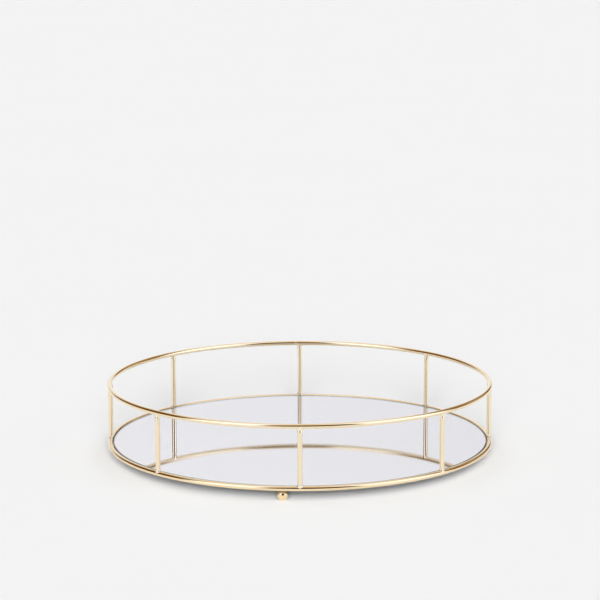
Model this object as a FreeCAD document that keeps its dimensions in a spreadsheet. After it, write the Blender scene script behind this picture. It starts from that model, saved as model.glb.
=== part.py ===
import FreeCAD, Part
import os
import Sketcher

# Round gallery tray for a dresser: a mirror in a low fence of polished wire.
# Millimetres, +Z up. The origin is on the surface the tray stands on, under
# the tray's centre. The front is -Y. Azimuths run from the front (-Y)
# towards +X, so 0 is the front, 90 the right, 180 the back, 270 the left.

doc = FreeCAD.newDocument("gallery_tray")

# ---------------------------------------------------------------- dimensions
sheet = doc.addObject("Spreadsheet::Sheet", "dims")
sheet.Label = "dims"
DIMENSIONS = [
    # alias, value, meaning
    ("ring_radius", 148.0, "wire centre line of both rings"),
    ("wire_radius", 1.85, "round wire of both rings"),
    ("post_radius", 1.8, "round rod of the upright posts"),
    ("gallery_rise", 46.0, "bottom ring centre to top ring centre"),
    ("ball_radius", 4.2, "ball foot"),
    ("foot_neck_radius", 1.8, "short neck between ball and plate"),
    ("foot_height", 8.65, "ground to the underside of base plate and bottom ring"),
    ("foot_circle", 142.0, "circle the feet are welded on"),
    ("foot_turn", -5.1, "azimuth of the first foot, degrees"),
    ("plate_radius", 146.9, "base plate outline, before it is fitted to the ring"),
    ("plate_gauge", 0.8, "base plate sheet thickness"),
    ("plate_round", 0.2, "rounding of the plate's edges"),
    ("pad_gauge", 0.3, "adhesive pads under the mirror"),
    ("pad_radius", 18.0, "one adhesive pad"),
    ("pad_circle", 95.0, "circle the outer adhesive pads lie on"),
    ("backing_gauge", 0.2, "silvering and protective paint"),
    ("backing_inset", 0.6, "paint stops short of the glass edge"),
    ("glass_radius", 145.5, "mirror glass outline"),
    ("glass_gauge", 2.0, "mirror glass thickness"),
    ("glass_arris", 0.35, "ground arris on both glass edges"),
    ("bead_radius", 2.3, "weld flare beside the ring"),
    ("bead_start", 0.7, "weld flare, from ring centre plane"),
    ("neck_radius", 1.95, "weld neck below the flare"),
    ("bulge_radius", 2.25, "braze bulge on the post below the top ring"),
    ("seam_radius", 2.05, "raised butt seam of the top ring"),
    ("seam_sweep", 0.6, "length of the seam, degrees of the ring"),
    ("seam_turn", 181.28, "azimuth of the seam's middle, degrees"),
]
for row, (alias, value, meaning) in enumerate(DIMENSIONS, start=2):
    sheet.set("A%d" % row, meaning)
    sheet.set("B%d" % row, repr(value))
    sheet.setAlias("B%d" % row, alias)
sheet.set("A1", "meaning")
sheet.set("B1", "value in mm, or degrees where it says so")
doc.recompute()

# Heights that follow from the stack-up, as expressions over the sheet.
PLATE_TOP = "(dims.foot_height + dims.plate_gauge)"
RING_LOW = "(dims.foot_height + dims.wire_radius)"
RING_HIGH = "(%s + dims.gallery_rise)" % RING_LOW
BACKING_Z = "(%s + dims.pad_gauge)" % PLATE_TOP
GLASS_Z = "(%s + dims.backing_gauge)" % BACKING_Z

EXPORTS = []


def own_plane(body, role):
    return next(f for f in body.Origin.OriginFeatures if f.Role == role)


def new_body(name):
    body = doc.addObject("PartDesign::Body", name)
    body.Label = name
    return body


def new_sketch(body, name, role, lift=None):
    sketch = body.newObject("Sketcher::SketchObject", name)
    sketch.AttachmentSupport = (own_plane(body, role), [""])
    sketch.MapMode = "FlatFace"
    if lift is not None:
        sketch.setExpression("AttachmentOffset.Base.z", lift)
    return sketch


def named(sketch, constraint, name, expression):
    index = sketch.addConstraint(constraint)
    sketch.renameConstraint(index, name)
    sketch.setExpression("Constraints." + name, expression)
    return index


def keep(obj, name=None):
    if name:
        obj.Label = name
    EXPORTS.append(obj)
    return obj


# --------------------------------------------------------------------- rings
def make_ring(name, height):
    """Wire ring: a circle of the wire's section turned about the tray's axis."""
    body = new_body(name)
    sketch = new_sketch(body, name + "_section", "XZ_Plane")
    sketch.addGeometry(
        Part.Circle(FreeCAD.Vector(148, 10, 0), FreeCAD.Vector(0, 0, 1), 1.85), False
    )
    named(sketch, Sketcher.Constraint("DistanceX", -1, 1, 0, 3, 148.0), "reach", "dims.ring_radius")
    named(sketch, Sketcher.Constraint("DistanceY", -1, 1, 0, 3, 10.0), "height", height)
    named(sketch, Sketcher.Constraint("Radius", 0, 1.85), "wire", "dims.wire_radius")
    doc.recompute()
    turn = body.newObject("PartDesign::Revolution", name + "_turn")
    turn.Profile = sketch
    turn.ReferenceAxis = (sketch, ["V_Axis"])
    turn.Angle = 360.0
    body.Tip = turn
    doc.recompute()
    return body


bottom_ring = keep(make_ring("bottom_ring", RING_LOW))
top_ring = keep(make_ring("top_ring", RING_HIGH))

# --------------------------------------------------------------------- posts
# Rods on the rings' centre line, their ends coped to seat on the round wire.
POSTS = [
    ("post_front", 0),
    ("post_front_right", 45),
    ("post_right", 90),
    ("post_back_right", 135),
    ("post_back", 180),
    ("post_back_left", 225),
    ("post_left", 270),
    ("post_front_left", 315),
]
posts = []
for name, azimuth in POSTS:
    rod = doc.addObject("Part::Cylinder", name + "_rod")
    rod.setExpression("Radius", "dims.post_radius")
    rod.setExpression("Height", "dims.gallery_rise")
    rod.setExpression("Placement.Base.x", "dims.ring_radius * sin(%d)" % azimuth)
    rod.setExpression("Placement.Base.y", "-dims.ring_radius * cos(%d)" % azimuth)
    rod.setExpression("Placement.Base.z", RING_LOW)
    low = doc.addObject("Part::Cut", name + "_cope_low")
    low.Base, low.Tool = rod, bottom_ring
    high = doc.addObject("Part::Cut", name)
    high.Base, high.Tool = low, top_ring
    posts.append(keep(high, name))
doc.recompute()


# --------------------------------------------------------------- weld beads
def make_beads(name, ring, height, side, profile):
    """Collars of weld metal around every post end, turned about the post.

    profile: (radius expression, distance from the ring's centre plane).
    side is +1 when the collars stand above the ring, -1 when they hang.
    """
    body = new_body(name + "_collars")
    body.AllowCompound = True
    sketch = new_sketch(body, name + "_section", "XZ_Plane")
    count = len(profile)
    base_z = {1: 10.5, -1: 56.5}[side]
    points = [
        FreeCAD.Vector(148 + radius_now, base_z + side * away, 0)
        for radius_now, away, _ in profile
    ]
    for i in range(count):
        sketch.addGeometry(Part.LineSegment(points[i], points[(i + 1) % count]), False)
    for i in range(count):
        sketch.addConstraint(Sketcher.Constraint("Coincident", i, 2, (i + 1) % count, 1))
    # The post's own centre line, to turn the section about.
    sketch.addGeometry(
        Part.LineSegment(FreeCAD.Vector(148, 0, 0), FreeCAD.Vector(148, 60, 0)), True
    )
    sketch.addConstraint(Sketcher.Constraint("Vertical", count))
    sketch.addConstraint(Sketcher.Constraint("PointOnObject", count, 1, -1))
    named(sketch, Sketcher.Constraint("DistanceX", -1, 1, count, 1, 148.0), "axis_reach", "dims.ring_radius")
    named(sketch, Sketcher.Constraint("DistanceY", -1, 1, count, 2, 60.0), "axis_end", height + " + 10")
    for i, (radius_now, away, radius_text) in enumerate(profile):
        named(
            sketch,
            Sketcher.Constraint("DistanceX", -1, 1, i, 1, points[i].x),
            "reach_%d" % i,
            "dims.ring_radius + " + radius_text,
        )
        named(
            sketch,
            Sketcher.Constraint("DistanceY", -1, 1, i, 1, points[i].y),
            "height_%d" % i,
            "%s %s %s" % (height, "+" if side > 0 else "-", away if i > 1 else "dims.bead_start"),
        )
    doc.recompute()
    turn = body.newObject("PartDesign::Revolution", name + "_turn")
    turn.Profile = sketch
    turn.ReferenceAxis = (sketch, ["Axis0"])
    turn.Angle = 360.0
    body.Tip = turn
    doc.recompute()
    pattern = body.newObject("PartDesign::PolarPattern", name + "_pattern")
    pattern.Originals = [turn]
    pattern.Axis = (own_plane(body, "Z_Axis"), [""])
    pattern.Angle = 360.0
    body.Tip = pattern
    pattern.Occurrences = len(POSTS)
    doc.recompute()
    cut = doc.addObject("Part::Cut", name)
    cut.Base, cut.Tool = body, ring
    doc.recompute()
    return cut


bottom_beads = keep(
    make_beads(
        "bottom_weld_beads",
        bottom_ring,
        RING_LOW,
        1,
        [
            (1.8, 0.7, "dims.post_radius"),
            (2.3, 0.7, "dims.bead_radius"),
            (2.3, 1.5, "dims.bead_radius"),
            (2.125, 2.1, "0.5 * (dims.bead_radius + dims.neck_radius)"),
            (1.95, 3.0, "dims.neck_radius"),
            (1.88, 3.6, "(dims.post_radius + 0.08)"),
            (1.8, 3.6, "dims.post_radius"),
        ],
    ),
    "bottom_weld_beads",
)
top_beads = keep(
    make_beads(
        "top_weld_beads",
        top_ring,
        RING_HIGH,
        -1,
        [
            (1.8, 0.7, "dims.post_radius"),
            (2.3, 0.7, "dims.bead_radius"),
            (2.3, 1.5, "dims.bead_radius"),
            (2.1, 2.1, "(dims.neck_radius + 0.15)"),
            (1.95, 2.8, "dims.neck_radius"),
            (2.15, 3.4, "(dims.bulge_radius - 0.1)"),
            (2.25, 4.0, "dims.bulge_radius"),
            (2.15, 4.6, "(dims.bulge_radius - 0.1)"),
            (1.88, 5.2, "(dims.post_radius + 0.08)"),
            (1.8, 5.2, "dims.post_radius"),
        ],
    ),
    "top_weld_beads",
)

# The top ring is one length of wire closed by a butt seam beside the back post.
seam_solid = doc.addObject("Part::Torus", "seam_sweep_solid")
seam_solid.setExpression("Radius1", "dims.ring_radius")
seam_solid.setExpression("Radius2", "dims.seam_radius")
seam_solid.setExpression("Angle3", "dims.seam_sweep")
seam_solid.setExpression("Placement.Base.z", RING_HIGH)
seam_solid.Placement.Rotation = FreeCAD.Rotation(FreeCAD.Vector(0, 0, 1), 0)
seam_solid.setExpression(
    "Placement.Rotation.Angle", "dims.seam_turn - 90 - 0.5 * dims.seam_sweep"
)
seam = doc.addObject("Part::Cut", "top_ring_seam")
seam.Base, seam.Tool = seam_solid, top_ring
keep(seam, "top_ring_seam")


# --------------------------------------------------- base plate and mirror
def make_disc(name, radius, thickness, lift):
    """Flat disc: a circle padded upwards from its own height."""
    body = new_body(name)
    sketch = new_sketch(body, name + "_outline", "XY_Plane", lift)
    sketch.addGeometry(
        Part.Circle(FreeCAD.Vector(0, 0, 0), FreeCAD.Vector(0, 0, 1), 140), False
    )
    sketch.addConstraint(Sketcher.Constraint("Coincident", 0, 3, -1, 1))
    named(sketch, Sketcher.Constraint("Radius", 0, 140.0), "outline", radius)
    doc.recompute()
    pad = body.newObject("PartDesign::Pad", name + "_pad")
    pad.Profile = sketch
    pad.setExpression("Length", thickness)
    body.Tip = pad
    doc.recompute()
    return body, pad


def rims(feature):
    return [
        "Edge%d" % (i + 1)
        for i, edge in enumerate(feature.Shape.Edges)
        if isinstance(edge.Curve, Part.Circle)
    ]


# The plate lies inside the bottom ring, level with its underside, and its edge
# is fitted to the round of the wire.
plate_sheet, plate_pad = make_disc(
    "plate_sheet", "dims.plate_radius", "dims.plate_gauge", "dims.foot_height"
)
plate_fillet = plate_sheet.newObject("PartDesign::Fillet", "plate_sheet_round")
plate_fillet.Base = (plate_pad, rims(plate_pad))
plate_fillet.setExpression("Radius", "dims.plate_round")
plate_sheet.Tip = plate_fillet
doc.recompute()
base_plate = doc.addObject("Part::Cut", "base_plate")
base_plate.Base, base_plate.Tool = plate_sheet, bottom_ring
doc.recompute()
keep(base_plate, "base_plate")

backing, backing_pad = make_disc(
    "mirror_backing",
    "dims.glass_radius - dims.backing_inset",
    "dims.backing_gauge",
    BACKING_Z,
)
keep(backing)

glass, glass_pad = make_disc("mirror_glass", "dims.glass_radius", "dims.glass_gauge", GLASS_Z)
glass_arris = glass.newObject("PartDesign::Chamfer", "mirror_glass_arris")
glass_arris.Base = (glass_pad, rims(glass_pad))
glass_arris.setExpression("Size", "dims.glass_arris")
glass.Tip = glass_arris
doc.recompute()
keep(glass)

# Adhesive pads between plate and mirror: one in the middle, four around it.
pads = []
for index, azimuth in enumerate([None, 45, 135, 225, 315]):
    pad = doc.addObject("Part::Cylinder", "pad_%d" % index)
    pad.setExpression("Radius", "dims.pad_radius")
    pad.setExpression("Height", "dims.pad_gauge")
    if azimuth is not None:
        pad.setExpression("Placement.Base.x", "dims.pad_circle * sin(%d)" % azimuth)
        pad.setExpression("Placement.Base.y", "-dims.pad_circle * cos(%d)" % azimuth)
    pad.setExpression("Placement.Base.z", PLATE_TOP)
    pads.append(pad)
adhesive = doc.addObject("Part::Compound", "mirror_adhesive_pads")
adhesive.Links = pads
keep(adhesive, "mirror_adhesive_pads")

# ---------------------------------------------------------------------- feet
# Polished balls, each on a short neck welded to the plate's underside.
for name, quarter in [
    ("foot_front", 0),
    ("foot_right", 90),
    ("foot_back", 180),
    ("foot_left", 270),
]:
    ball = doc.addObject("Part::Sphere", name + "_ball")
    neck = doc.addObject("Part::Cylinder", name + "_neck")
    ball.setExpression("Radius", "dims.ball_radius")
    neck.setExpression("Radius", "dims.foot_neck_radius")
    neck.setExpression("Height", "dims.foot_height - dims.ball_radius")
    for piece in (ball, neck):
        piece.setExpression(
            "Placement.Base.x", "dims.foot_circle * sin(dims.foot_turn + %d)" % quarter
        )
        piece.setExpression(
            "Placement.Base.y", "-dims.foot_circle * cos(dims.foot_turn + %d)" % quarter
        )
        piece.setExpression("Placement.Base.z", "dims.ball_radius")
    foot = doc.addObject("Part::Fuse", name)
    foot.Base, foot.Tool = ball, neck
    keep(foot, name)

doc.recompute()

# ----------------------------------------------------------------- validation
problems = []
for obj in doc.Objects:
    if "Invalid" in obj.State or "Error" in obj.State:
        problems.append("%s: %s" % (obj.Name, obj.State))
for obj in EXPORTS:
    shape = obj.Shape
    if shape.isNull() or not shape.isValid() or not shape.Solids:
        problems.append("%s: bad shape" % obj.Label)
if problems:
    raise RuntimeError("; ".join(problems))

os.makedirs("parts", exist_ok=True)
for obj in EXPORTS:
    obj.Shape.exportStep("parts/%s.step" % obj.Label)
    box = obj.Shape.BoundBox
    print(
        "%-22s solids %d  volume %10.2f  x %8.2f %8.2f  y %8.2f %8.2f  z %6.2f %6.2f"
        % (
            obj.Label,
            len(obj.Shape.Solids),
            obj.Shape.Volume,
            box.XMin,
            box.XMax,
            box.YMin,
            box.YMax,
            box.ZMin,
            box.ZMax,
        )
    )
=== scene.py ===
import math
import random

import bpy
from mathutils import Matrix, Vector, noise

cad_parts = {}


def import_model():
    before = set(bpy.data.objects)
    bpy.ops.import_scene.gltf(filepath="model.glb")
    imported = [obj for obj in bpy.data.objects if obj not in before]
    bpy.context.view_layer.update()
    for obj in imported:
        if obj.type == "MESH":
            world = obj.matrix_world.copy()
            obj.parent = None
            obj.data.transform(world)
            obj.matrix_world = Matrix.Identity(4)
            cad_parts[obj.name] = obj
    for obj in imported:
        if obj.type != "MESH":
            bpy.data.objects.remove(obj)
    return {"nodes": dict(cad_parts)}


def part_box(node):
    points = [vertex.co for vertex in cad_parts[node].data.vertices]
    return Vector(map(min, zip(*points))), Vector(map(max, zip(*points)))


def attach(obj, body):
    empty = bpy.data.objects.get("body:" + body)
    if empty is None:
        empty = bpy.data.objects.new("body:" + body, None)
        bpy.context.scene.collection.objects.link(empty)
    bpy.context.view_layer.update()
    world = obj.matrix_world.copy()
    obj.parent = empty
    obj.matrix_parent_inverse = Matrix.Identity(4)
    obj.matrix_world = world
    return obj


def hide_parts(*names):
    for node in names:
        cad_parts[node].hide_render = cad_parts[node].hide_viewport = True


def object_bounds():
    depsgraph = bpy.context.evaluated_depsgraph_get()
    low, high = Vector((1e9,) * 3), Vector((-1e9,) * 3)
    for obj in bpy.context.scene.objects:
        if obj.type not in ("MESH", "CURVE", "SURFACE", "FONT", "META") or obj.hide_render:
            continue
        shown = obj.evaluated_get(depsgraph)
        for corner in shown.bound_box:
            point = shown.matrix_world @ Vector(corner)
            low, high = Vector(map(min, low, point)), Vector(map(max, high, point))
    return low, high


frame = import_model()
CAD_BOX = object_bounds()
BODY = "root"
TAU = 2.0 * math.pi
MM = 0.001

# ------------------------------------------------------------------ places
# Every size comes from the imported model's boxes.


def corners(node):
    low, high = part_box(node)
    return Vector(low), Vector(high)


top_lo, top_hi = corners("top_ring")
bot_lo, bot_hi = corners("bottom_ring")
plate_lo, plate_hi = corners("base_plate")
glass_lo, glass_hi = corners("mirror_glass")
back_lo, back_hi = corners("mirror_backing")

WIRE_R = (top_hi.z - top_lo.z) / 2
TOP_Z = (top_hi.z + top_lo.z) / 2
BOT_Z = (bot_hi.z + bot_lo.z) / 2
RING_R = (top_hi.x - top_lo.x) / 2 - WIRE_R
PLATE_R = (plate_hi.x - plate_lo.x) / 2
GLASS_R = (glass_hi.x - glass_lo.x) / 2
BACK_R = (back_hi.x - back_lo.x) / 2
POSTS = [
    "post_front",
    "post_front_right",
    "post_right",
    "post_back_right",
    "post_back",
    "post_back_left",
    "post_left",
    "post_front_left",
]
FEET = ["foot_front", "foot_right", "foot_back", "foot_left"]


def middle(node):
    low, high = corners(node)
    return (low + high) / 2


def post_place(node):
    """Azimuth of a post, from the front towards +X, and its rod's radius."""
    low, high = corners("post_front")
    centre = middle(node)
    return math.atan2(centre.x, -centre.y), (high.x - low.x) / 2


POST_R = post_place("post_front")[1]

# --------------------------------------------------------------- mesh tools


def make_object(name, points, faces, material, face_slots=None, materials=None):
    mesh = bpy.data.meshes.new(name)
    mesh.from_pydata([tuple(p) for p in points], [], faces)
    for m in materials or [material]:
        mesh.materials.append(m)
    if face_slots:
        mesh.polygons.foreach_set("material_index", face_slots)
    mesh.polygons.foreach_set("use_smooth", [True] * len(faces))
    mesh.update()
    mesh.validate()
    obj = bpy.data.objects.new(name, mesh)
    bpy.context.scene.collection.objects.link(obj)
    return obj


def tube_grid(rows, closed_rows, base=0):
    """Faces of a grid of rings: rows is a count of rings, each of the same size."""
    count, per = rows
    faces = []
    last = count if closed_rows else count - 1
    for i in range(last):
        j = (i + 1) % count
        for k in range(per):
            n = (k + 1) % per
            faces.append(
                (
                    base + i * per + k,
                    base + i * per + n,
                    base + j * per + n,
                    base + j * per + k,
                )
            )
    return faces


def lathe(name, profile, steps, material, face_slots_of=None, materials=None):
    """Turns (radius, height) points about the Z axis; a radius of 0 closes with a fan."""
    points, faces, slots = [], [], []
    index = []
    for radius, height in profile:
        if radius <= 1e-9:
            index.append([len(points)])
            points.append((0.0, 0.0, height))
        else:
            index.append(list(range(len(points), len(points) + steps)))
            for k in range(steps):
                t = TAU * k / steps
                points.append((radius * math.cos(t), radius * math.sin(t), height))
    for i in range(len(profile) - 1):
        a, b = index[i], index[i + 1]
        slot = face_slots_of(i) if face_slots_of else 0
        for k in range(steps):
            n = (k + 1) % steps
            if len(a) == 1:
                faces.append((a[0], b[n], b[k]))
            elif len(b) == 1:
                faces.append((a[k], a[n], b[0]))
            else:
                faces.append((a[k], a[n], b[n], b[k]))
            slots.append(slot)
    return make_object(name, points, faces, material, slots, materials)


# ---------------------------------------------------------------- materials


class Tree:
    """A short way to write node trees."""

    def __init__(self, name):
        self.mat = bpy.data.materials.new(name)
        self.mat.use_nodes = True
        self.nt = self.mat.node_tree
        self.bsdf = next(n for n in self.nt.nodes if n.type == "BSDF_PRINCIPLED")
        self.coords = self.add("ShaderNodeTexCoord").outputs["Object"]

    def add(self, kind, **values):
        node = self.nt.nodes.new(kind)
        for key, value in values.items():
            setattr(node, key, value)
        return node

    def link(self, a, b):
        self.nt.links.new(a, b)

    def scaled(self, x, y, z):
        node = self.add("ShaderNodeMapping")
        node.inputs["Scale"].default_value = (x, y, z)
        self.link(self.coords, node.inputs["Vector"])
        return node.outputs["Vector"]

    def noise(self, scale, detail=3.0, rough=0.5, vector=None, distortion=0.0):
        node = self.add("ShaderNodeTexNoise")
        node.inputs["Scale"].default_value = scale
        node.inputs["Detail"].default_value = detail
        node.inputs["Roughness"].default_value = rough
        node.inputs["Distortion"].default_value = distortion
        self.link(vector or self.coords, node.inputs["Vector"])
        return node.outputs["Fac"]

    def span(self, value, low, high, to_low, to_high):
        node = self.add("ShaderNodeMapRange")
        node.inputs["From Min"].default_value = low
        node.inputs["From Max"].default_value = high
        node.inputs["To Min"].default_value = to_low
        node.inputs["To Max"].default_value = to_high
        self.link(value, node.inputs["Value"])
        return node.outputs["Result"]

    def blend(self, factor, a, b):
        node = self.add("ShaderNodeMix", data_type="RGBA")
        self.link(factor, node.inputs["Factor"])
        for socket, colour in (("A", a), ("B", b)):
            target = next(
                s for s in node.inputs if s.name == socket and s.type == "RGBA"
            )
            if isinstance(colour, tuple):
                target.default_value = colour + (1.0,)
            else:
                self.link(colour, target)
        return next(s for s in node.outputs if s.type == "RGBA")

    def bump(self, height, strength, distance):
        node = self.add("ShaderNodeBump")
        node.inputs["Strength"].default_value = strength
        node.inputs["Distance"].default_value = distance
        self.link(height, node.inputs["Height"])
        self.link(node.outputs["Normal"], self.bsdf.inputs["Normal"])

    def set(self, **values):
        for key, value in values.items():
            self.bsdf.inputs[key.replace("_", " ")].default_value = value
        return self


GOLD = (0.985, 0.85, 0.61)
GOLD_DEEP = (0.965, 0.795, 0.53)


def gold(
    name, bright, deep, rough=(0.06, 0.13), tint=0.35, bump=0.06, scale=900.0, bump_mm=0.02
):
    """Polished gold-coloured plating over drawn wire: a slow drift of tone where the
    plating is thicker, faint scuffs in the gloss and the smallest unevenness."""
    t = Tree(name)
    drift = t.noise(38.0, 2.0, 0.5)
    tone = t.blend(t.span(drift, 0.35, 0.68, 0.0, tint), bright, deep)
    t.link(tone, t.bsdf.inputs["Base Color"])
    scuff = t.noise(420.0, 6.0, 0.65)
    t.link(t.span(scuff, 0.3, 0.7, rough[0], rough[1]), t.bsdf.inputs["Roughness"])
    t.bump(t.noise(scale, 3.0, 0.55), bump, bump_mm * MM)
    t.set(Metallic=1.0)
    return t.mat


# The top ring, the bottom ring and the feet get deeper copies of the posts' gold: painted shade and painted
# reflection for the darker floor and shade their lower halves reflect, deepest on the bottom ring and the
# feet.
GOLD_POST = gold("gold_post", GOLD, GOLD_DEEP)
GOLD_WIRE_PAINTED_SHADE = gold("gold_wire", (0.98, 0.825, 0.565), (0.96, 0.775, 0.49))
GOLD_LOW_PAINTED_SHADE = gold("gold_low_wire_painted_shade", (0.965, 0.79, 0.515), (0.945, 0.745, 0.455))
GOLD_BALL_PAINTED_SHADE = gold(
    "gold_ball_painted_shade", (0.955, 0.77, 0.49), (0.935, 0.725, 0.43), rough=(0.05, 0.1), bump=0.04
)
# Weld metal: a paler gold, a painted highlight that whitens the glints on the beads and the seam.
GOLD_WELD_PAINTED_HIGHLIGHT = gold(
    "gold_weld",
    (0.99, 0.885, 0.69),
    GOLD_DEEP,
    rough=(0.05, 0.14),
    tint=0.5,
    bump=0.22,
    scale=1500.0,
    bump_mm=0.05,
)


def plate_gold(name, bright, deep, rough):
    """Rolled sheet under the plating, with the rolling lines along X."""
    t = Tree(name)
    drift = t.noise(14.0, 3.0, 0.5)
    tone = t.blend(t.span(drift, 0.3, 0.7, 0.0, 0.6), bright, deep)
    t.link(tone, t.bsdf.inputs["Base Color"])
    lines = t.noise(1.0, 4.0, 0.6, t.scaled(25.0, 1800.0, 400.0))
    t.link(t.span(lines, 0.3, 0.7, rough[0], rough[1]), t.bsdf.inputs["Roughness"])
    t.bump(lines, 0.12, 0.02 * MM)
    t.set(Metallic=1.0)
    return t.mat


GOLD_PLATE = plate_gold("gold_plate", GOLD, GOLD_DEEP, (0.14, 0.26))
# Painted shade: the underside is dull grey so the shadow beneath the tray stays dark and neutral.
PLATE_UNDER_PAINTED_SHADE = plate_gold("plate_underside_painted_shade", (0.345, 0.345, 0.345), (0.28, 0.28, 0.285), (0.36, 0.52))


def clear_glass():
    """Float glass: clean, flat and sharp, with the slightest drift of its tint."""
    t = Tree("float_glass")
    tone = t.blend(t.noise(6.0, 1.0, 0.4), (0.985, 0.995, 0.995), (0.975, 0.99, 0.985))
    t.link(tone, t.bsdf.inputs["Base Color"])
    t.set(IOR=1.5, Transmission_Weight=1.0, Roughness=0.0)
    return t.mat


def ground_edge():
    """The glass's ground edge: frosted, and green from looking along the sheet."""
    t = Tree("ground_glass_edge")
    grit = t.noise(2600.0, 3.0, 0.6)
    t.link(t.span(grit, 0.3, 0.7, 0.22, 0.42), t.bsdf.inputs["Roughness"])
    tone = t.blend(t.noise(120.0, 2.0, 0.5), (0.60, 0.61, 0.55), (0.68, 0.69, 0.63))
    t.link(tone, t.bsdf.inputs["Base Color"])
    t.bump(grit, 0.25, 0.03 * MM)
    t.set(IOR=1.5, Transmission_Weight=0.75)
    return t.mat


def silver():
    """Silvering seen through the glass, a touch cool."""
    t = Tree("silvering")
    cloud = t.noise(9.0, 2.0, 0.5)
    tone = t.blend(cloud, (0.928, 0.912, 0.962), (0.908, 0.896, 0.942))
    t.link(tone, t.bsdf.inputs["Base Color"])
    t.link(t.span(cloud, 0.3, 0.7, 0.0, 0.015), t.bsdf.inputs["Roughness"])
    t.set(Metallic=1.0)
    return t.mat


def paint():
    """Grey protective paint over the silvering, rolled on."""
    t = Tree("backing_paint")
    peel = t.noise(700.0, 3.0, 0.5)
    tone = t.blend(t.noise(40.0, 3.0, 0.6), (0.17, 0.18, 0.185), (0.23, 0.235, 0.24))
    t.link(tone, t.bsdf.inputs["Base Color"])
    t.link(t.span(peel, 0.3, 0.7, 0.45, 0.65), t.bsdf.inputs["Roughness"])
    t.bump(peel, 0.3, 0.02 * MM)
    return t.mat


def adhesive():
    """White foam tape: small cells."""
    t = Tree("foam_adhesive")
    cells = t.add("ShaderNodeTexVoronoi")
    cells.inputs["Scale"].default_value = 1800.0
    t.link(t.coords, cells.inputs["Vector"])
    tone = t.blend(cells.outputs["Distance"], (0.82, 0.82, 0.79), (0.66, 0.66, 0.63))
    t.link(tone, t.bsdf.inputs["Base Color"])
    t.link(t.span(cells.outputs["Distance"], 0.0, 0.8, 0.7, 0.9), t.bsdf.inputs["Roughness"])
    t.bump(cells.outputs["Distance"], 0.4, 0.05 * MM)
    return t.mat


# -------------------------------------------------------------------- rings


def ring(name, height, material):
    around, section = 720, 32
    points = []
    for i in range(around):
        t = TAU * i / around
        for k in range(section):
            s = TAU * k / section
            reach = RING_R + WIRE_R * math.cos(s)
            points.append(
                (reach * math.cos(t), reach * math.sin(t), height + WIRE_R * math.sin(s))
            )
    return make_object(name, points, tube_grid((around, section), True), material)


# The rings' deeper golds are painted shade: darker copies of the posts' gold standing in for reflected
# shade.
top_wire = ring("top_ring_wire", TOP_Z, GOLD_WIRE_PAINTED_SHADE)
bottom_wire = ring("bottom_ring_wire", BOT_Z, GOLD_LOW_PAINTED_SHADE)


# -------------------------------------------------------------------- posts


def post(name, node):
    """A rod between the rings; its ends run into the round of each wire."""
    azimuth, radius = post_place(node)
    section = 32
    heights = [BOT_Z + WIRE_R * 0.45]
    rows = 24
    for i in range(rows + 1):
        heights.append(BOT_Z + WIRE_R + (TOP_Z - BOT_Z - 2 * WIRE_R) * i / rows)
    heights.append(TOP_Z - WIRE_R * 0.45)
    points = []
    cx, cy = RING_R * math.sin(azimuth), -RING_R * math.cos(azimuth)
    for z in heights:
        for k in range(section):
            s = TAU * k / section
            points.append((cx + radius * math.cos(s), cy + radius * math.sin(s), z))
    faces = tube_grid((len(heights), section), False)
    faces.append(tuple(range(section - 1, -1, -1)))
    faces.append(tuple(range((len(heights) - 1) * section, len(heights) * section)))
    obj = make_object(name, points, faces, GOLD_POST)
    for poly in list(obj.data.polygons)[-2:]:
        poly.use_smooth = False
    return obj


# -------------------------------------------------------------- weld beads


def bead(points, faces, azimuth, height, side, seed, bulge):
    """One saddle fillet of weld metal round a post end, added to points and faces."""
    rng = random.Random(seed)
    section, rows = 44, 36
    reach_t = WIRE_R + (1.0 + 0.5 * rng.random()) * MM
    reach_d = (4.7 + 0.8 * rng.random()) * MM if bulge else (3.1 + 0.5 * rng.random()) * MM
    lump = (0.40 + 0.04 * rng.random()) * MM if bulge else 0.05 * MM
    lump_at = (3.9 + 0.5 * rng.random()) * MM
    lean = rng.random() * TAU
    base = len(points)
    ex = Vector((math.cos(azimuth), math.sin(azimuth), 0.0))
    ey = Vector((math.sin(azimuth), -math.cos(azimuth), 0.0))
    centre = Vector((RING_R * math.sin(azimuth), -RING_R * math.cos(azimuth), height))
    for i in range(rows):
        u = i / (rows - 1)
        for k in range(section):
            s = TAU * k / section
            across = abs(math.sin(s))
            end_r = reach_t + (WIRE_R - 0.07 * MM - reach_t) * across**1.5
            q = min(end_r * across, WIRE_R * 0.985)
            end_d = math.sqrt(WIRE_R**2 - q * q) - 0.18 * MM
            # A quadratic curve from the post's side down to the wire's round.
            p0 = (POST_R + 0.015 * MM, reach_d)
            p1 = (POST_R + 0.03 * MM, end_d + 0.45 * MM)
            p2 = (end_r, end_d)
            a, b, c = (1 - u) ** 2, 2 * u * (1 - u), u * u
            r = a * p0[0] + b * p1[0] + c * p2[0]
            d = a * p0[1] + b * p1[1] + c * p2[1]
            side_of = 0.75 + 0.25 * math.cos(s - lean)
            r += lump * side_of * math.exp(-(((d - lump_at) / (0.55 * MM)) ** 2))
            n = noise.noise(
                Vector((math.cos(s) * 1.3, math.sin(s) * 1.3, d / MM * 0.7)) + Vector((seed * 7.1, 3.3, 0.0))
            )
            r += 0.07 * MM * n * math.sin(math.pi * min(max(u, 0.0), 1.0))
            r = max(r, POST_R + 0.012 * MM)
            points.append(
                centre + ex * (r * math.cos(s)) + ey * (r * math.sin(s)) + Vector((0, 0, side * d))
            )
    grid = tube_grid((rows, section), False, base)
    if side < 0:
        grid = [tuple(reversed(f)) for f in grid]
    faces.extend(tuple(reversed(f)) for f in grid)
    # Closed at both ends, inside the post and inside the wire.
    for row, flip in ((0, side > 0), (rows - 1, side < 0)):
        loop = [base + row * section + k for k in range(section)]
        faces.append(tuple(loop if flip else reversed(loop)))


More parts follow.
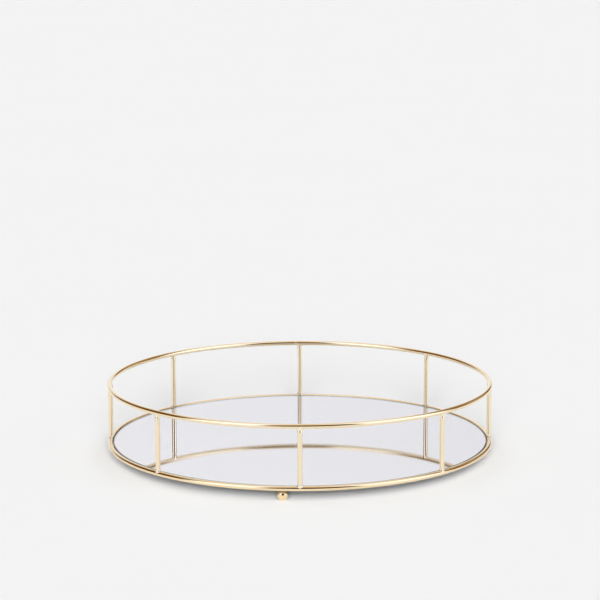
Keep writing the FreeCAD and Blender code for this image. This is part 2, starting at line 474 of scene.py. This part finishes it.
def beads(name, height, side, bulge, seed):
    points, faces = [], []
    for i, node in enumerate(POSTS):
        bead(points, faces, post_place(node)[0], height, side, seed + i, bulge)
    return make_object(name, points, faces, GOLD_WELD_PAINTED_HIGHLIGHT)


post_pieces = [(post(node + "_rod", node), node) for node in POSTS]
top_beads = beads("top_weld_fillets", TOP_Z, -1, True, 11)
bottom_beads = beads("bottom_weld_fillets", BOT_Z, 1, False, 31)


def seam():
    """The butt weld that closes the top ring: a slim raised, uneven band."""
    low, high = corners("top_ring_seam")
    centre = (low + high) / 2
    azimuth = math.atan2(centre.x, -centre.y)
    half = (high.x - low.x) / 2 / RING_R
    section, rows = 36, 13
    points = []
    for i in range(rows):
        u = i / (rows - 1)
        swell = math.sin(math.pi * u) ** 0.6
        for k in range(section):
            s = TAU * k / section
            n = noise.noise(Vector((math.cos(s) * 1.7, math.sin(s) * 1.7, u * 2.0)))
            a = azimuth + (2 * u - 1) * half * (0.85 + 0.15 * math.cos(2 * s + 1.0))
            r = WIRE_R + (0.01 + 0.15 * swell * (0.8 + 0.3 * n)) * MM
            reach = RING_R + r * math.cos(s)
            points.append((reach * math.sin(a), -reach * math.cos(a), TOP_Z + r * math.sin(s)))
    faces = [tuple(reversed(f)) for f in tube_grid((rows, section), False)]
    faces.append(tuple(range(section)))
    faces.append(tuple(range(rows * section - 1, (rows - 1) * section - 1, -1)))
    return make_object("top_ring_butt_seam", points, faces, GOLD_WELD_PAINTED_HIGHLIGHT)


seam_piece = seam()

# ------------------------------------------------------ plate, mirror, feet


def rounded(radius, low, high, fillet, steps=6):
    """Profile of a disc from its underside's middle round the edge to its top's."""
    out = [(0.0, low), (radius * 0.5, low), (radius * 0.93, low)]
    for i in range(steps + 1):
        t = -math.pi / 2 + (math.pi / 2) * i / steps
        out.append((radius - fillet + fillet * math.cos(t), low + fillet + fillet * math.sin(t)))
    for i in range(steps + 1):
        t = (math.pi / 2) * i / steps
        out.append((radius - fillet + fillet * math.cos(t), high - fillet + fillet * math.sin(t)))
    out += [(radius * 0.9, high), (radius * 0.5, high), (0.0, high)]
    return out


# The underside is dull grey: painted shade, keeping the shadow beneath the tray dark and neutral.
plate_piece = lathe(
    "base_plate_sheet",
    rounded(PLATE_R, plate_lo.z, plate_hi.z, 0.2 * MM),
    512,
    None,
    face_slots_of=lambda i: 1 if i < 4 else 0,
    materials=[GOLD_PLATE, PLATE_UNDER_PAINTED_SHADE],
)

# The slab's underside carries the silvering, so light meets it inside the glass.
arris = 0.35 * MM
glass_profile = [
    (0.0, glass_lo.z),
    (GLASS_R * 0.5, glass_lo.z),
    (GLASS_R - arris, glass_lo.z),
    (GLASS_R - arris * 0.08, glass_lo.z + arris * 0.92),
    (GLASS_R, glass_lo.z + arris * 1.15),
    (GLASS_R, glass_hi.z - arris * 1.15),
    (GLASS_R - arris * 0.08, glass_hi.z - arris * 0.92),
    (GLASS_R - arris, glass_hi.z),
    (GLASS_R * 0.5, glass_hi.z),
    (0.0, glass_hi.z),
]
glass_piece = lathe(
    "mirror_glass_sheet",
    glass_profile,
    512,
    None,
    face_slots_of=lambda i: 2 if i < 2 else (1 if i < 7 else 0),
    materials=[clear_glass(), ground_edge(), silver()],
)
for poly in glass_piece.data.polygons:
    flat = abs(poly.normal.z) > 0.99
    poly.use_smooth = not flat
glass_piece.data.update()

backing_piece = lathe(
    "mirror_backing_paint",
    rounded(BACK_R, back_lo.z, back_hi.z - 0.01 * MM, 0.05 * MM, 3),
    256,
    paint(),
)


def foot(name, node):
    """A polished ball that runs through a soft weld into a short neck under the
    plate."""
    low, high = corners(node)
    radius = (high.x - low.x) / 2
    centre = Vector(((low.x + high.x) / 2, (low.y + high.y) / 2, low.z + radius))
    top = high.z
    neck = 1.78 * MM
    profile = []
    steps = 44
    last = math.acos(neck / radius) - 0.06
    for i in range(1, steps + 1):
        t = -math.pi / 2 + (last + math.pi / 2) * i / steps
        profile.append((radius * math.cos(t), centre.z + radius * math.sin(t)))
    r0, z0 = profile[-1]
    for i in range(1, 9):
        u = i / 8
        z = z0 + (top - z0) * u
        # In from the ball to the neck, then out again where it meets the plate.
        r = neck + (r0 - neck) * max(0.0, 1.0 - u * 2.6) ** 2
        r += 0.42 * MM * max(0.0, (u - 0.55) / 0.45) ** 2
        profile.append((r, z))
    section = 48
    points, faces = [(centre.x, centre.y, low.z)], []
    for r, z in profile:
        for k in range(section):
            s = TAU * k / section
            points.append((centre.x + r * math.cos(s), centre.y + r * math.sin(s), z))
    points.append((centre.x, centre.y, top))
    for k in range(section):
        faces.append((0, 1 + (k + 1) % section, 1 + k))
    faces += tube_grid((len(profile), section), False, 1)
    tip = len(points) - 1
    base = 1 + (len(profile) - 1) * section
    for k in range(section):
        faces.append((base + k, base + (k + 1) % section, tip))
    # The ball's deeper gold is painted shade, a darker copy of the posts' gold.
    obj = make_object(name, points, faces, GOLD_BALL_PAINTED_SHADE)
    for poly in list(obj.data.polygons)[-section:]:
        poly.use_smooth = False
    return obj


foot_pieces = [(foot(node + "_ball", node), node) for node in FEET]

# ------------------------------------------------------- what stands for what

for piece, node, slot in (
    [
        (top_wire, "top_ring", "gold_wire"),
        (bottom_wire, "bottom_ring", "gold_wire"),
        (top_beads, "top_weld_beads", "gold_weld"),
        (bottom_beads, "bottom_weld_beads", "gold_weld"),
        (seam_piece, "top_ring_seam", "gold_weld"),
        (plate_piece, "base_plate", "gold_plate"),
        (glass_piece, "mirror_glass", "mirror_glass"),
        (backing_piece, "mirror_backing", "silvering"),
    ]
    + [(piece, node, "gold_wire") for piece, node in post_pieces]
    + [(piece, node, "gold_feet") for piece, node in foot_pieces]
):
    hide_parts(node)
    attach(piece, BODY)

pad_object = frame["nodes"]["mirror_adhesive_pads"]
pad_material = adhesive()
for index in range(len(pad_object.material_slots)):
    pad_object.material_slots[index].material = pad_material

# -------------------------------------------------------------------- stage


def floor():
    """A pale seamless floor."""
    t = Tree("studio_floor")
    speck = t.noise(3.0, 2.0, 0.5)
    tone = t.blend(speck, (0.885, 0.885, 0.885), (0.895, 0.895, 0.895))
    t.link(tone, t.bsdf.inputs["Base Color"])
    t.set(Roughness=1.0, Specular_IOR_Level=0.0)
    size = 30.0
    low = CAD_BOX[0][2]
    obj = make_object(
        "studio_floor",
        [(-size, -size, low), (size, -size, low), (size, size, low), (-size, size, low)],
        [(0, 1, 2, 3)],
        t.mat,
    )
    return obj


floor()


def world():
    """Soft studio surroundings: two big softboxes either side of the camera, dark
    gaps between and beside them, a pale backdrop behind and a pale ceiling, brighter
    where the softboxes reach up to it."""
    w = bpy.data.worlds.new("studio")
    bpy.context.scene.world = w
    w.use_nodes = True
    nt = w.node_tree
    nt.nodes.clear()

    def add(kind, **values):
        node = nt.nodes.new(kind)
        for key, value in values.items():
            setattr(node, key, value)
        return node

    def maths(operation, a, b=None):
        node = add("ShaderNodeMath", operation=operation)
        for socket, value in zip(node.inputs, (a, b)):
            if value is None:
                continue
            if isinstance(value, (int, float)):
                socket.default_value = value
            else:
                nt.links.new(value, socket)
        return node.outputs[0]

    coords = add("ShaderNodeTexCoord")
    split = add("ShaderNodeSeparateXYZ")
    nt.links.new(coords.outputs["Generated"], split.inputs[0])
    azimuth = maths("ARCTAN2", split.outputs["X"], maths("MULTIPLY", split.outputs["Y"], -1.0))
    turn = maths("ADD", maths("DIVIDE", azimuth, TAU), 0.5)
    pale, box, wall = (1.0, 1.0, 1.0), (0.93, 1.0, 1.2), (1.0, 0.76, 0.48)
    gap, roof, dusk = (1.0, 0.42, 0.04), (1.0, 0.94, 0.86), (1.0, 0.86, 0.70)
    scale = 2.0

    def around(stops):
        """Colour by azimuth: (degrees from the front towards +X, value, tint)."""
        ramp = add("ShaderNodeValToRGB")
        nt.links.new(turn, ramp.inputs["Fac"])
        elements = ramp.color_ramp.elements
        for degrees, _, _ in stops[1:-1]:
            elements.new((degrees + 180) / 360)
        for element, (_, value, tint) in zip(elements, stops):
            element.color = tuple(value / scale * c for c in tint) + (1.0,)
        node = add("ShaderNodeVectorMath", operation="SCALE")
        nt.links.new(ramp.outputs["Color"], node.inputs[0])
        node.inputs["Scale"].default_value = scale
        return node.outputs["Vector"]

    sides = around(
        [
            (-180, 0.925, pale),
            (-174, 0.93, pale),
            (-160, 0.84, pale),
            (-149, 0.66, pale),
            (-136, 0.17, gap),
            (-75, 0.14, gap),
            (-63, 1.50, box),
            (-28, 1.36, box),
            (-17, 0.12, gap),
            (10, 0.08, gap),
            (31, 0.10, gap),
            (41, 1.30, box),
            (91, 1.50, box),
            (103, 0.20, gap),
            (114, 0.20, gap),
            (124, 0.40, wall),
            (142, 0.40, wall),
            (149, 0.18, gap),
            (156, 0.18, gap),
            (164, 0.84, pale),
            (175, 0.885, pale),
            (180, 0.925, pale),
        ]
    )
    above = around(
        [
            (-180, 0.80, roof),
            (-150, 0.80, roof),
            (-125, 0.74, dusk),
            (-75, 0.74, dusk),
            (-63, 1.30, box),
            (-28, 1.24, box),
            (-17, 0.66, dusk),
            (10, 0.56, dusk),
            (31, 0.66, dusk),
            (41, 1.20, box),
            (91, 1.30, box),
            (103, 0.74, dusk),
            (150, 0.76, dusk),
            (180, 0.80, roof),
        ]
    )
    lift = add("ShaderNodeMapRange", interpolation_type="SMOOTHSTEP")
    nt.links.new(split.outputs["Z"], lift.inputs["Value"])
    lift.inputs["From Min"].default_value = math.sin(math.radians(43))
    lift.inputs["From Max"].default_value = math.sin(math.radians(57))
    mix = add("ShaderNodeMix", data_type="RGBA")
    nt.links.new(lift.outputs["Result"], mix.inputs["Factor"])
    colours = {k.name: k for k in mix.inputs if k.type == "RGBA"}
    nt.links.new(sides, colours["A"])
    nt.links.new(above, colours["B"])
    result = next(k for k in mix.outputs if k.type == "RGBA")

    # Rays that leave the mirror, through its glass or off the glass's sharp
    # surface, see a pale seamless backdrop all the way round and over the top,
    # dimmer towards the front. The wires reflect the softboxes and the gaps.
    backdrop = around(
        [
            (-180, 0.925, pale),
            (-174, 0.93, pale),
            (-149, 0.88, pale),
            (-45, 0.88, pale),
            (-18, 0.60, pale),
            (24, 0.58, pale),
            (52, 0.88, pale),
            (149, 0.88, pale),
            (175, 0.885, pale),
            (180, 0.925, pale),
        ]
    )
    path = add("ShaderNodeLightPath")
    through = add("ShaderNodeMix", data_type="RGBA")
    mirrored = maths(
        "MAXIMUM", path.outputs["Is Transmission Ray"], path.outputs["Is Singular Ray"]
    )
    nt.links.new(mirrored, through.inputs["Factor"])
    ends = {k.name: k for k in through.inputs if k.type == "RGBA"}
    nt.links.new(result, ends["A"])
    nt.links.new(backdrop, ends["B"])
    result = next(k for k in through.outputs if k.type == "RGBA")
    background = add("ShaderNodeBackground")
    nt.links.new(result, background.inputs["Color"])
    background.inputs["Strength"].default_value = 1.0
    out = add("ShaderNodeOutputWorld")
    nt.links.new(background.outputs[0], out.inputs["Surface"])
    w.cycles_visibility.diffuse = False


world()


def sun(name, azimuth, elevation, spread, strength):
    """Even light from one side of the sky, azimuth from the front towards +X."""
    data = bpy.data.lights.new(name, "SUN")
    data.angle = math.radians(spread)
    data.energy = strength
    obj = bpy.data.objects.new(name, data)
    a, e = math.radians(azimuth), math.radians(elevation)
    away = Vector((math.cos(e) * math.sin(a), -math.cos(e) * math.cos(a), math.sin(e)))
    obj.location = away * 3.0
    obj.rotation_euler = away.to_track_quat("Z", "Y").to_euler()
    bpy.context.scene.collection.objects.link(obj)
    obj.visible_glossy = False
    obj.visible_transmission = False
    return obj


for name, azimuth, elevation, spread, strength in (
    ("front_low", 0.0, 15.0, 24.0, 2.24),
    ("front_middle", 0.0, 22.0, 28.0, 3.2),
    ("front_high", 0.0, 45.0, 36.0, 0.66),
    ("left_high", -60.0, 35.0, 36.0, 0.2),
    ("right_high", 60.0, 35.0, 36.0, 0.58),
    ("back_left", -120.0, 30.0, 36.0, 0.6),
    ("back_right", 120.0, 30.0, 36.0, 0.35),
):
    sun(name, azimuth, elevation, spread, strength)

# ------------------------------------------------------------------- camera


def camera():
    data = bpy.data.cameras.new("camera")
    data.sensor_width = 36.0
    data.sensor_fit = "HORIZONTAL"
    data.lens = 133.07
    data.clip_end = 200.0
    obj = bpy.data.objects.new("camera", data)
    bpy.context.scene.collection.objects.link(obj)
    pitch, roll = math.radians(10.506), math.radians(-0.177)
    c, s = math.cos(pitch), math.sin(pitch)
    right, down, forward = Vector((1, 0, 0)), Vector((0, -s, -c)), Vector((0, c, -s))
    x_axis = right * math.cos(roll) - down * math.sin(roll)
    y_axis = -(right * math.sin(roll) + down * math.cos(roll))
    place = Vector((0.00038, -1.6907, BOT_Z + 0.42398))
    m = Matrix.Identity(4)
    for i in range(3):
        m[i][0], m[i][1], m[i][2], m[i][3] = x_axis[i], y_axis[i], -forward[i], place[i]
    obj.matrix_world = m
    bpy.context.scene.camera = obj


camera()

view = bpy.context.scene.view_settings
view.view_transform = "Standard"
view.look = "None"
